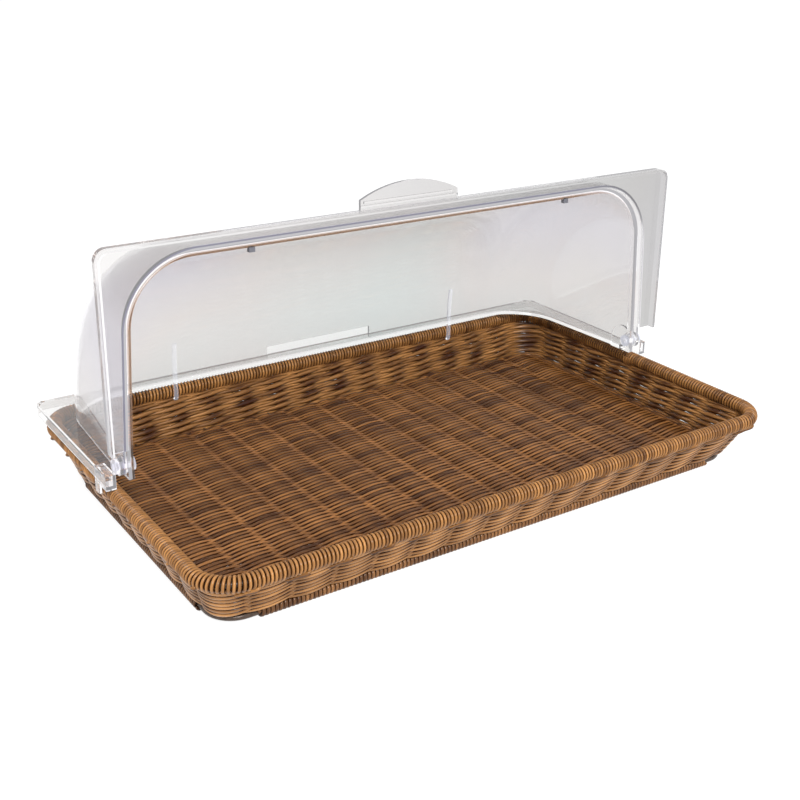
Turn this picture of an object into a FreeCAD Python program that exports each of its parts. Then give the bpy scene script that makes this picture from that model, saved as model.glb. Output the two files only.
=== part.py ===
import FreeCAD, Part
import math
import os

# Countertop bread bin: a woven basket on a wire frame, and a clear roll-top cover that stands open.
# Millimetres. X runs along the long side, Y to the rear and Z up. The origin is on the counter,
# under the middle of the basket.

Vector = FreeCAD.Vector

# Rim of the basket
rim_length = 600.0
rim_depth = 376.0
rim_centre_height = 51.0
rim_wrap_diameter = 14.0
rim_wire_diameter = 5.0
rim_corner_radius = 32.0
lashing_length = 10.0
lashing_thickness = 1.2
lashing_drop = 0.9
lashing_place = 4.0
lashing_top_cut = 4.5

# Foot of the basket
foot_length_inset = 39.0
foot_depth_inset = 58.0
foot_wrap_diameter = 10.0
foot_wire_diameter = 5.0
foot_corner_radius = 24.0
foot_flat_depth = 0.5
foot_bare_length = 6.0

# Woven wall and base
wall_thickness = 8.0
wall_web_thickness = 3.4
upright_diameter = 3.0
long_side_uprights = 14
short_side_uprights = 8
base_thickness = 6.0
base_web_thickness = 3.2
base_wire_diameter = 3.0
base_wire_count = 7
wall_corner_steps = 4

# Shell of the cover, measured from the hinge axis
cover_rear_margin = 14.0
cover_side_margin = 17.0
cover_lean = 8.5
cover_corner_radius = 60.0
cover_hub_radius = 12.0
shell_thickness = 2.5
shell_gap = 1.5
bead_thickness = 5.0
bead_width = 5.0
fixed_front_reach = 6.0

# Flanges that lie on the rim
flange_thickness = 3.0
flange_corner_radius = 10.0
lip_thickness = 2.5
lip_depth = 10.0
fixed_flange_start = 12.0
end_tab_depth = 18.0
end_tab_length = 8.0
end_block_width = 8.8
end_block_rise = 4.8
axis_above_flange = 9.0
moving_flange_start = 17.0
tail_notch_width = 124.0
tail_notch_depth = 13.0

# Handle of the roll-top
handle_width = 103.0
handle_height = 21.5
handle_shift = 12.0
handle_end_height = 9.0
handle_ridge_width = 2.0
handle_ridge_height = 1.5
handle_ridge_places = (1.5, 5.0)

# Hinges
pin_diameter = 6.0
pin_head_diameter = 12.0
pin_head_thickness = 2.0
washer_diameter = 14.0
ear_radius = 8.2
ear_thickness = 3.0
pad_radius = 15.0
pad_set_back = 7.0
pad_thickness = 2.5
cap_diameter = 13.0
cap_thickness = 3.4
cap_floor = 0.8

# Small pieces of the fixed cover
peg_inset = 113.0
peg_shift = 6.0
peg_width = 5.5
peg_height = 4.5
peg_edge_distance = 0.5
nub_diameter = 4.0
nub_height = 0.8
nub_inset = 78.0
nub_edge_distance = 2.5
clip_inset = 117.0
clip_width = 4.0
clip_thickness = 2.0
clip_rise = 30.0
clip_hook_angle = 30.0

# Clearances and overrun
wire_clearance = 0.1
weave_clearance = 0.3
seat_clearance = 0.3
running_clearance = 0.1
overrun = 5.0

# Sizes that follow from those above
foot_length = rim_length - foot_length_inset
foot_depth = rim_depth - foot_depth_inset
rim_centre_length = rim_length - rim_wrap_diameter
rim_centre_depth = rim_depth - rim_wrap_diameter
rim_top = rim_centre_height + rim_wrap_diameter / 2
foot_centre_length = foot_length - foot_wrap_diameter
foot_centre_depth = foot_depth - foot_wrap_diameter
foot_centre_height = foot_wrap_diameter / 2 - foot_flat_depth
wall_bottom = foot_centre_height + foot_wrap_diameter / 2 + weave_clearance
wall_top = rim_top - rim_wrap_diameter - weave_clearance
base_wire_height = wall_bottom + base_thickness / 2
stake_spacing = (foot_centre_length - 2 * foot_corner_radius) / long_side_uprights
cover_half_width = rim_length / 2 - cover_side_margin
cover_top_half_width = cover_half_width - cover_lean
cover_radius = rim_depth / 2 - cover_rear_margin
peg_place = cover_half_width - peg_inset
clip_place = cover_half_width - clip_inset
nub_place = cover_half_width - nub_inset
flange_length = rim_length
flange_depth = rim_depth
shoulder_reach = rim_wrap_diameter / 2 - lip_thickness
rim_shoulder = rim_centre_height + math.sqrt((rim_wrap_diameter / 2) ** 2 - shoulder_reach ** 2)
axis_height = rim_shoulder + seat_clearance + lip_depth + axis_above_flange
moving_offset = shell_gap + shell_thickness
moving_rear_reach = axis_above_flange - seat_clearance


# Shapes used by more than one piece

def rounded_wire(length, depth, radius, height):
    """Closed rounded rectangle that starts at the middle of its front side."""
    start = Vector(0, -depth / 2, height)
    last = start
    edges = []
    for corner, (side_x, side_y) in enumerate(((1, -1), (1, 1), (-1, 1), (-1, -1))):
        centre = Vector(side_x * (length / 2 - radius), side_y * (depth / 2 - radius), height)
        turns = [math.radians(90 * corner - 90 + 45 * step) for step in range(3)]
        points = [centre + Vector(math.cos(turn), math.sin(turn), 0) * radius for turn in turns]
        edges.append(Part.LineSegment(last, points[0]).toShape())
        edges.append(Part.Arc(*points).toShape())
        last = points[2]
    edges.append(Part.LineSegment(last, start).toShape())
    return Part.Wire(edges)


def ring_tube(length, depth, radius, height, tube_radius):
    """Round bar bent into a closed rounded rectangle."""
    path = rounded_wire(length, depth, radius, height)
    circle = Part.Circle(Vector(0, -depth / 2, height), Vector(1, 0, 0), tube_radius)
    return path.makePipeShell([Part.Wire(circle.toShape())], True, False)


def rim_tube(tube_radius):
    return ring_tube(rim_centre_length, rim_centre_depth, rim_corner_radius, rim_centre_height, tube_radius)


def foot_tube(tube_radius):
    return ring_tube(foot_centre_length, foot_centre_depth, foot_corner_radius, foot_centre_height, tube_radius)


def frame_levels():
    """Half length, half depth, corner bend and height of the centre lines of the foot and of the rim."""
    return (
        (foot_centre_length / 2, foot_centre_depth / 2, foot_corner_radius, foot_centre_height),
        (rim_centre_length / 2, rim_centre_depth / 2, rim_corner_radius, rim_centre_height),
    )


def flared_block(offset):
    """Solid from the foot's centre line to the rim's centre line, grown sideways by the offset."""
    wires = []
    for x, y, bend, z in frame_levels():
        wires.append(rounded_wire(2 * (x + offset), 2 * (y + offset), bend + offset, z))
    return Part.makeLoft(wires, True, True)


def ribbed_wire(level, web, rib):
    """Closed outline that stands off a centre line by the rib at each upright and by the web between them."""
    x, y, bend, z = level
    points = []
    for side in range(4):
        turn = math.radians(90 * side - 90)
        outward = Vector(math.cos(turn), math.sin(turn), 0)
        along = Vector(-outward.y, outward.x, 0)
        count = short_side_uprights if side % 2 else long_side_uprights
        reach, half_run = (x, y - bend) if side % 2 else (y, x - bend)
        for step in range(2 * count + 1):
            offset = rib if step % 2 else web
            points.append(outward * (reach + offset) + along * (half_run * (step / count - 1)))
        corner = outward * (reach - bend) + along * half_run
        for step in range(1, wall_corner_steps):
            share = step / wall_corner_steps
            offset = rib - (rib - web) * abs(2 * share - 1)
            direction = outward * math.cos(share * math.pi / 2) + along * math.sin(share * math.pi / 2)
            points.append(corner + direction * (bend + offset))
    points = [Vector(point.x, point.y, z) for point in points]
    return Part.makePolygon(points + points[:1])


def ribbed_block(web, rib):
    """Solid from foot to rim that swells at each upright."""
    return Part.makeLoft([ribbed_wire(level, web, rib) for level in frame_levels()], True, True)


def slab(bottom, top):
    """Flat block wider than the whole basket."""
    length = rim_length + 2 * overrun
    depth = rim_depth + 2 * overrun
    return Part.makeBox(length, depth, top - bottom, Vector(-length / 2, -depth / 2, bottom))


def bar_between(start, end, radius):
    """Round bar from one point to another."""
    return Part.makeCylinder(radius, (end - start).Length, start, end - start)


def upright_ends():
    """Foot point and rim point of each wire of the wall."""
    levels = frame_levels()
    ends = []
    for side in (-1, 1):
        for place in range(long_side_uprights):
            share = (2 * place + 1) / long_side_uprights - 1
            ends.append([Vector(share * (x - bend), side * y, z) for x, y, bend, z in levels])
        for place in range(short_side_uprights):
            share = (2 * place + 1) / short_side_uprights - 1
            ends.append([Vector(side * x, share * (y - bend), z) for x, y, bend, z in levels])
        for end in (-1, 1):
            ends.append([corner_point(x, y, bend, z, side, end) for x, y, bend, z in levels])
    return ends


def corner_point(x, y, bend, z, side, end):
    """Middle of a rounded corner of a centre line."""
    lean = bend * (1 - math.sqrt(0.5))
    return Vector(side * (x - lean), end * (y - lean), z)


def upright_bars(radius):
    return Part.makeCompound([bar_between(foot, rim, radius) for foot, rim in upright_ends()])


def base_bars(radius, offset):
    """Wires under the woven base, which end in the wall."""
    bars = []
    for place in range(base_wire_count):
        x = (place - (base_wire_count - 1) / 2) * 2 * stake_spacing
        start = Vector(x, -rim_depth / 2, base_wire_height)
        bars.append(Part.makeCylinder(radius, rim_depth, start, Vector(0, 1, 0)))
    return Part.makeCompound(bars).common(flared_block(offset))


def lashing_bar(radius, length):
    """Round bar along the right side of the rim, a little below its centre line."""
    start = Vector(rim_centre_length / 2, lashing_place - length / 2, rim_centre_height - lashing_drop)
    return Part.makeCylinder(radius, length, start, Vector(0, 1, 0))


# Basket

def rim_wrap():
    bore = rim_tube(rim_wire_diameter / 2 + wire_clearance)
    wrap = rim_tube(rim_wrap_diameter / 2).cut(bore)
    return wrap.cut(upright_bars(upright_diameter / 2 + weave_clearance))


def rim_frame_wire():
    return rim_tube(rim_wire_diameter / 2)


def rim_lashing():
    radius = rim_wrap_diameter / 2 + lashing_thickness
    winding = lashing_bar(radius, lashing_length).cut(rim_tube(rim_wrap_diameter / 2 + wire_clearance))
    return winding.cut(slab(rim_centre_height + lashing_top_cut, rim_top + overrun))


def woven_wall():
    wall = ribbed_block(wall_web_thickness / 2, wall_thickness / 2)
    wall = wall.cut(ribbed_block(-wall_web_thickness / 2, -wall_thickness / 2))
    wall = wall.common(slab(wall_bottom, wall_top))
    wall = wall.cut(upright_bars(upright_diameter / 2 + weave_clearance))
    wall = wall.cut(base_bars(base_wire_diameter / 2 + weave_clearance, weave_clearance))
    notch_radius = rim_wrap_diameter / 2 + lashing_thickness + weave_clearance
    return wall.cut(lashing_bar(notch_radius, lashing_length + 2 * weave_clearance))


def wall_uprights():
    bars = upright_bars(upright_diameter / 2)
    bars = bars.cut(rim_tube(rim_wire_diameter / 2 + wire_clearance))
    return bars.cut(foot_tube(foot_wire_diameter / 2 + wire_clearance))


def foot_wrap(side_x, side_y):
    """Winding on one straight side of the foot, flat underneath."""
    along = Vector(abs(side_y), abs(side_x), 0)
    side_length = foot_centre_length if side_y else foot_centre_depth
    length = side_length - 2 * (foot_corner_radius + foot_bare_length)
    middle = Vector(side_x * foot_centre_length / 2, side_y * foot_centre_depth / 2, foot_centre_height)
    winding = Part.makeCylinder(foot_wrap_diameter / 2, length, middle - along * (length / 2), along)
    winding = winding.common(slab(0, foot_wrap_diameter))
    winding = winding.cut(foot_tube(foot_wire_diameter / 2 + wire_clearance))
    return winding.cut(upright_bars(upright_diameter / 2 + weave_clearance))


def foot_frame_wire():
    return foot_tube(foot_wire_diameter / 2)


def base_plate():
    """Plate as deep as the rim, thicker along each stake than between the stakes."""
    y = -rim_depth / 2
    upper, lower = [], []
    steps = long_side_uprights + 2
    for step in range(-steps, steps + 1):
        half = (base_web_thickness if step % 2 else base_thickness) / 2
        upper.append(Vector(step * stake_spacing / 2, y, base_wire_height + half))
        lower.append(Vector(step * stake_spacing / 2, y, base_wire_height - half))
    outline = Part.makePolygon(upper + lower[::-1] + upper[:1])
    return Part.Face(outline).extrude(Vector(0, rim_depth, 0))


def woven_base():
    base = flared_block(-wall_thickness / 2 - weave_clearance).common(base_plate())
    return base.cut(base_bars(base_wire_diameter / 2 + weave_clearance, weave_clearance))


def base_cross_wires():
    return base_bars(base_wire_diameter / 2, 0)


# Shapes of the cover, about the hinge axis, with the axis at the origin

def cover_section(offset):
    """Face inside the U outline of the cover, grown by the offset, in the plane of the hinge axis."""
    top = cover_radius + offset
    half_width = cover_half_width + offset
    top_half_width = cover_top_half_width + offset
    radius = cover_corner_radius + offset
    hub = Vector(half_width, 0, cover_hub_radius)
    corner = Vector(top_half_width, 0, top)
    down = (hub - corner).normalize()
    inward = Vector(-1, 0, 0)
    half_turn = down.getAngle(inward) / 2
    run = radius / math.tan(half_turn)
    middle = (down + inward).normalize() * (radius / math.sin(half_turn) - radius)
    right = [Vector(half_width, 0, 0), hub, corner + down * run, corner + middle, corner + inward * run]
    left = [Vector(-point.x, 0, point.z) for point in right]
    edges = [
        Part.LineSegment(right[0], right[1]).toShape(),
        Part.LineSegment(right[1], right[2]).toShape(),
        Part.Arc(right[2], right[3], right[4]).toShape(),
        Part.LineSegment(right[4], left[4]).toShape(),
        Part.Arc(left[4], left[3], left[2]).toShape(),
        Part.LineSegment(left[2], left[1]).toShape(),
        Part.LineSegment(left[1], left[0]).toShape(),
        Part.LineSegment(left[0], right[0]).toShape(),
    ]
    return Part.Face(Part.Wire(edges))


def front_block(offset, near, far, below):
    """Upright U block from one distance in front of the axis to another."""
    face = cover_section(offset)
    face.translate(Vector(0, -near, 0))
    half_width = cover_half_width + offset
    corner = Vector(-half_width, -far, -below)
    lower = Part.makeBox(2 * half_width, far - near, below, corner)
    return face.extrude(Vector(0, near - far, 0)).fuse(lower)


def quarter_block(offset, reach, below):
    """Quarter turn of the section to the rear, run forward by the reach and down by the depth below."""
    face = cover_section(offset)
    quarter = face.revolve(Vector(0, 0, 0), Vector(1, 0, 0), -90)
    face.rotate(Vector(0, 0, 0), Vector(1, 0, 0), -90)
    lower = face.extrude(Vector(0, 0, -below))
    return quarter.fuse([front_block(offset, 0, reach, below), lower]).removeSplitter()


def flange_prism(inset, bottom, top):
    """Prism on the outline of both flanges together, drawn in by the inset."""
    outline = rounded_wire(
        flange_length - 2 * inset, flange_depth - 2 * inset, flange_corner_radius - inset, bottom
    )
    return Part.Face(outline).extrude(Vector(0, 0, top - bottom))


def flange_and_lip():
    """Flange plate of the whole cover with its hanging lip, front and rear together."""
    top = -axis_above_flange
    plate = flange_prism(0, top - flange_thickness, top)
    lip = flange_prism(0, top - lip_depth, top)
    return plate.fuse(lip.cut(flange_prism(lip_thickness, top - lip_depth - overrun, top + overrun)))


def depth_block(front, rear):
    """Block as wide and tall as the cover between two places along Y."""
    length = flange_length + 2 * overrun
    height = 2 * (flange_depth + handle_height)
    return Part.makeBox(length, rear - front, height, Vector(-length / 2, front, -height / 2))


def side_bar(side, inner, outer, radius):
    """Round bar on the hinge axis, at one end of the cover."""
    return Part.makeCylinder(radius, outer - inner, Vector(side * inner, 0, 0), Vector(side, 0, 0))


def hinge_bore(side, clearance):
    return side_bar(side, cover_half_width / 2, flange_length / 2, pin_diameter / 2 + clearance)


# Fixed rear cover

def hinge_pad(side):
    """Arched thickening inside the end wall, round the hinge pin and a little behind it."""
    below = axis_above_flange + flange_thickness
    inner = cover_half_width - shell_thickness - pad_thickness
    thickness = pad_thickness + shell_thickness / 2
    arch = side_bar(side, inner, inner + thickness, pad_radius)
    start = min(side * inner, side * (inner + thickness))
    stem = Part.makeBox(thickness, 2 * pad_radius, below, Vector(start, -pad_radius, -below))
    arch = arch.fuse(stem)
    arch.translate(Vector(0, pad_set_back, 0))
    arch = arch.common(depth_block(-fixed_front_reach, pad_set_back + pad_radius))
    return arch.cut(flange_prism(-overrun, -below - pad_radius, -below))


def end_tab(side):
    """Deep end of the lip, which hangs outside the rim, and the raised block in front of it."""
    face = rim_length / 2 + seat_clearance
    far = face + lip_thickness
    top = -axis_above_flange
    rear = fixed_flange_start + end_tab_length
    blocks = []
    for near, front, low, high in (
        (face, fixed_flange_start, top - end_tab_depth, top),
        (flange_length / 2 - lip_thickness, fixed_flange_start, top - lip_depth, top),
        (far - end_block_width, -fixed_front_reach, rim_top + seat_clearance - axis_height, top + end_block_rise),
    ):
        corner = Vector(min(side * near, side * far), front, low)
        blocks.append(Part.makeBox(far - near, rear - front, high - low, corner))
    return blocks[0].fuse(blocks[1:])


def spacer_nub(x):
    """Small stud on the top edge that keeps the roll-top off the fixed shell."""
    base = Vector(x, -fixed_front_reach + nub_edge_distance, cover_radius - shell_thickness / 2)
    return Part.makeCylinder(nub_diameter / 2, shell_thickness / 2 + nub_height, base)


def fixed_cover():
    below = axis_above_flange + flange_thickness
    flange = flange_and_lip().common(depth_block(fixed_flange_start, flange_depth))
    shell = quarter_block(0, fixed_front_reach, below).fuse(flange)
    shell = shell.cut(quarter_block(-shell_thickness, fixed_front_reach + overrun, below + overrun))
    bead = front_block(0, fixed_front_reach - bead_width, fixed_front_reach, below)
    bead_hollow = front_block(
        -bead_thickness, fixed_front_reach - bead_width - overrun, fixed_front_reach + overrun, below + overrun
    )
    additions = [bead.cut(bead_hollow)]
    additions += [hinge_pad(side) for side in (-1, 1)]
    additions += [end_tab(side) for side in (-1, 1)]
    additions += [spacer_nub(x) for x in (-nub_place, 0, nub_place)]
    cover = shell.fuse(additions)
    for side in (-1, 1):
        cover = cover.cut(hinge_bore(side, 0))
    return on_axis(cover.removeSplitter())


# Roll-top, drawn shut and then turned open

def handle():
    """Bowed finger plate on the front edge of the roll-top, with two grip ridges."""
    top = -axis_above_flange
    edge = -flange_depth / 2
    half = handle_width / 2
    root = edge + lip_thickness
    corners = [Vector(-half, root, 0), Vector(-half, edge - handle_end_height, 0)]
    bow = Vector(0, edge - handle_height, 0)
    corners += [Vector(half, edge - handle_end_height, 0), Vector(half, root, 0)]
    outline = Part.Wire([
        Part.LineSegment(corners[0], corners[1]).toShape(),
        Part.Arc(corners[1], bow, corners[2]).toShape(),
        Part.LineSegment(corners[2], corners[3]).toShape(),
        Part.LineSegment(corners[3], corners[0]).toShape(),
    ])
    outline.translate(Vector(0, 0, top - flange_thickness))
    plate = Part.Face(outline).extrude(Vector(0, 0, flange_thickness))
    ridges = []
    for place in handle_ridge_places:
        length = handle_width - 2 * place
        corner = Vector(-length / 2, edge - place - handle_ridge_width, top - flange_thickness / 2)
        height = flange_thickness / 2 + handle_ridge_height
        ridges.append(Part.makeBox(length, handle_ridge_width, height, corner))
    plate = plate.fuse(ridges)
    plate.translate(Vector(-handle_shift, 0, 0))
    return plate


def moving_shell():
    """Shell and flange of the roll-top, with the corners at the hinge cut clear of the fixed flange."""
    below = axis_above_flange + flange_thickness
    mirror = (Vector(0, 0, 0), Vector(0, 1, 0))
    outer = quarter_block(moving_offset, moving_rear_reach, below).mirror(*mirror)
    inner = quarter_block(shell_gap, moving_rear_reach + overrun, below + overrun).mirror(*mirror)
    shell = outer.cut(lower_corner(0, moving_rear_reach + overrun, 0))
    shell = shell.cut(lower_corner(-moving_flange_start, overrun, ear_radius))
    flange = flange_and_lip().common(depth_block(-flange_depth, -moving_flange_start))
    return shell.fuse(flange).cut(inner)


def lower_corner(front, rear, depth):
    """Block under the roll-top's end walls, from a depth below the axis downwards."""
    length = flange_length + 2 * overrun
    height = axis_above_flange + lip_depth + overrun - depth
    return Part.makeBox(length, rear - front, height, Vector(-length / 2, front, -depth - height))


def tail_notch():
    """Shallow cut-out in the middle of the roll-top's rear edge."""
    corner = Vector(-tail_notch_width / 2, moving_rear_reach - tail_notch_depth, cover_radius - overrun)
    return Part.makeBox(tail_notch_width, tail_notch_depth + overrun, moving_offset + 2 * overrun, corner)


def moving_cover():
    cover = moving_shell().cut(tail_notch()).fuse(handle())
    for side in (-1, 1):
        inner = cover_half_width + shell_gap
        ear = side_bar(side, inner, inner + shell_thickness + ear_thickness, ear_radius)
        cover = cover.fuse(ear).cut(hinge_bore(side, running_clearance))
    cover = cover.removeSplitter()
    cover.rotate(Vector(0, 0, 0), Vector(1, 0, 0), -90)
    return on_axis(cover)


def on_axis(shape):
    """The shape moved from the origin to the hinge axis."""
    shape.translate(Vector(0, 0, axis_height))
    return shape


# Hinge pieces and small pieces

def hinge_pin(side):
    head_face = cover_half_width - shell_thickness - pad_thickness
    end = cover_half_width + moving_offset + ear_thickness + cap_thickness - cap_floor
    head = side_bar(side, head_face - pin_head_thickness, head_face, pin_head_diameter / 2)
    return on_axis(head.fuse(side_bar(side, head_face, end, pin_diameter / 2)).removeSplitter())


def hinge_washer(side):
    inner = cover_half_width + running_clearance
    outer = cover_half_width + shell_gap - running_clearance
    washer = side_bar(side, inner, outer, washer_diameter / 2)
    return on_axis(washer.cut(hinge_bore(side, running_clearance)))


def pin_cap(side):
    """Push-on cap that keeps the pin in, with a blind bore."""
    inner = cover_half_width + moving_offset + ear_thickness + running_clearance
    outer = cover_half_width + moving_offset + ear_thickness + cap_thickness
    bore_end = outer - cap_floor
    cap = side_bar(side, inner, outer, cap_diameter / 2)
    return on_axis(cap.cut(side_bar(side, inner, bore_end, pin_diameter / 2)))


def edge_pegs():
    """Two small square pegs under the front edge of the fixed cover."""
    depth = bead_width - 2 * peg_edge_distance
    y = -fixed_front_reach + peg_edge_distance
    z = cover_radius - bead_thickness - peg_height
    pegs = []
    for side in (-1, 1):
        corner = Vector(side * peg_place + peg_shift - peg_width / 2, y, z)
        pegs.append(Part.makeBox(peg_width, depth, peg_height, corner))
    return on_axis(Part.makeCompound(pegs))


def rim_clips():
    """Two narrow strips inside the rear wall, hooked round the inside of the rear rim."""
    face = -shell_thickness - running_clearance
    rim_drop = axis_height - rim_centre_height
    band = quarter_block(face, overrun, rim_drop)
    band = band.cut(quarter_block(face - clip_thickness, 2 * overrun, rim_drop + overrun))
    hook_radius = rim_centre_depth / 2 - (cover_radius + face)
    clips = []
    for side in (-1, 1):
        corner = Vector(side * clip_place - clip_width / 2, cover_radius / 2, -rim_drop)
        strip = band.common(Part.makeBox(clip_width, cover_radius, rim_drop + clip_rise, corner))
        rim_middle = Vector(corner.x, rim_centre_depth / 2, -rim_drop)
        flat = Vector(corner.x, rim_middle.y - hook_radius - clip_thickness, -rim_drop)
        start = Part.makePlane(clip_width, clip_thickness, flat)
        hook = start.revolve(rim_middle, Vector(1, 0, 0), clip_hook_angle)
        clips.append(strip.fuse(hook).removeSplitter())
    return on_axis(Part.makeCompound(clips))


pieces = {
    "rim_wrap": rim_wrap(),
    "rim_frame_wire": rim_frame_wire(),
    "rim_lashing": rim_lashing(),
    "woven_wall": woven_wall(),
    "wall_uprights": wall_uprights(),
    "foot_wrap_front": foot_wrap(0, -1),
    "foot_wrap_rear": foot_wrap(0, 1),
    "foot_wrap_left": foot_wrap(-1, 0),
    "foot_wrap_right": foot_wrap(1, 0),
    "foot_frame_wire": foot_frame_wire(),
    "woven_base": woven_base(),
    "base_cross_wires": base_cross_wires(),
    "fixed_cover": fixed_cover(),
    "moving_cover": moving_cover(),
    "hinge_pin_left": hinge_pin(-1),
    "hinge_pin_right": hinge_pin(1),
    "hinge_washer_left": hinge_washer(-1),
    "hinge_washer_right": hinge_washer(1),
    "pin_cap_left": pin_cap(-1),
    "pin_cap_right": pin_cap(1),
    "edge_pegs": edge_pegs(),
    "rim_clips": rim_clips(),
}

os.makedirs("parts", exist_ok=True)
for name, shape in pieces.items():
    box = shape.BoundBox
    print(
        f"{name:20s} solids {len(shape.Solids):3d} valid {shape.isValid()} volume {shape.Volume:10.0f}"
        f" x {box.XMin:7.1f} {box.XMax:6.1f} y {box.YMin:7.1f} {box.YMax:6.1f} z {box.ZMin:6.1f} {box.ZMax:6.1f}"
    )
    shape.exportStep(f"parts/{name}.step")
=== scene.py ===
"""Looks of the countertop bread bin: woven strands, clear covers, finishes, studio and camera."""

import logging
import math
from collections.abc import Callable
from dataclasses import dataclass, field
from enum import Enum

import bpy
import numpy as np
from mathutils import Matrix, Vector


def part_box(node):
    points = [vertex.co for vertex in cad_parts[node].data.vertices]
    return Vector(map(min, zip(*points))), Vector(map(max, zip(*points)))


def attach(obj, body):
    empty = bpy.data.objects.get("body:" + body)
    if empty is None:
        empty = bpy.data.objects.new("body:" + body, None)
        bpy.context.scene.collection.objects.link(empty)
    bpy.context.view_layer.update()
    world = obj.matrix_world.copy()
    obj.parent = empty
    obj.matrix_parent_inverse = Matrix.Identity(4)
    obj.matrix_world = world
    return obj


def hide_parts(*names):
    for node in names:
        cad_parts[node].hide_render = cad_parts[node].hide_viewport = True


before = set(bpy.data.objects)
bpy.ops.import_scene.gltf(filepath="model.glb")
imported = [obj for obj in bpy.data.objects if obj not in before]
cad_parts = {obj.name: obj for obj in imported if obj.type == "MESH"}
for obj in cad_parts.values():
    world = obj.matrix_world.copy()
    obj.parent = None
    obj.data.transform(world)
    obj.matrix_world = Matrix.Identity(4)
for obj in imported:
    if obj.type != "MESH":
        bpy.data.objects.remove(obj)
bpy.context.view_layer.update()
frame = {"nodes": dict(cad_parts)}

LOG = logging.getLogger("bread_bin")
MM = 0.001
# Y just behind the raised plate of the open roll-top
PLATE_REAR = -8.9 * MM

Colour = tuple[float, float, float]
Sockets = dict[str, bpy.types.NodeSocket]


class Slot(Enum):
    """Material slots of the record."""

    RATTAN = "rattan"
    STEEL = "frame_steel"
    CLEAR = "clear_plastic"
    WASHER = "washer_plastic"
    RUBBER = "peg_rubber"


class Body(Enum):
    """Bodies that a piece can ride on."""

    BASKET = "basket"
    ROLL_TOP = "roll_top"


class Side(Enum):
    """Straight sides of the foot, by their quarter turns from the front."""

    FRONT = 0
    RIGHT = 1
    REAR = 2
    LEFT = 3


def smooth_random(rng: np.random.Generator, knots: int, samples: np.ndarray, span: float) -> np.ndarray:
    """Random values from -1 to 1 that change smoothly and close on themselves.

    Args:
        rng: seeded source of the values.
        knots: number of random values along the span.
        samples: places at which the values are wanted.
        span: length after which the places start again.

    Returns:
        One value per sample, blended with a cosine between the two nearest knots.
    """
    values = rng.uniform(-1.0, 1.0, knots)
    place = np.mod(samples / span, 1.0) * knots
    low = np.floor(place).astype(int) % knots
    share = 0.5 - 0.5 * np.cos(math.pi * (place - np.floor(place)))
    return values[low] * (1 - share) + values[(low + 1) % knots] * share


def end_taper(count: int, rounded: int = 2) -> np.ndarray:
    """Share of full thickness at each point of an open strand: a quarter circle up at each tip, then one."""
    from_tip = np.minimum(np.arange(count), np.arange(count)[::-1]) / rounded
    return np.sqrt(1 - (1 - np.clip(from_tip, 0, 1)) ** 2)


def repeated(direction: tuple[float, float, float], count: int) -> np.ndarray:
    """One direction for each of a number of points."""
    return np.tile(np.array(direction), (count, 1))


def rounded_curve(stops: np.ndarray, samples: int) -> np.ndarray:
    """Smooth curve through points.

    Args:
        stops: points to pass through, one per row.
        samples: steps between two points.

    Returns:
        Points of the curve. Each stretch is a cubic through its four nearest stops.
    """
    padded = np.concatenate([2 * stops[:1] - stops[1:2], stops, 2 * stops[-1:] - stops[-2:-1]])
    share = np.arange(samples)[:, None] / samples
    pieces = []
    for start in range(len(stops) - 1):
        a, b, c, d = padded[start:start + 4]
        pieces.append(
            0.5 * (2 * b + (c - a) * share + (2 * a - 5 * b + 4 * c - d) * share ** 2
                   + (3 * b - a - 3 * c + d) * share ** 3)
        )
    pieces.append(stops[-1:])
    return np.concatenate(pieces)


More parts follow.
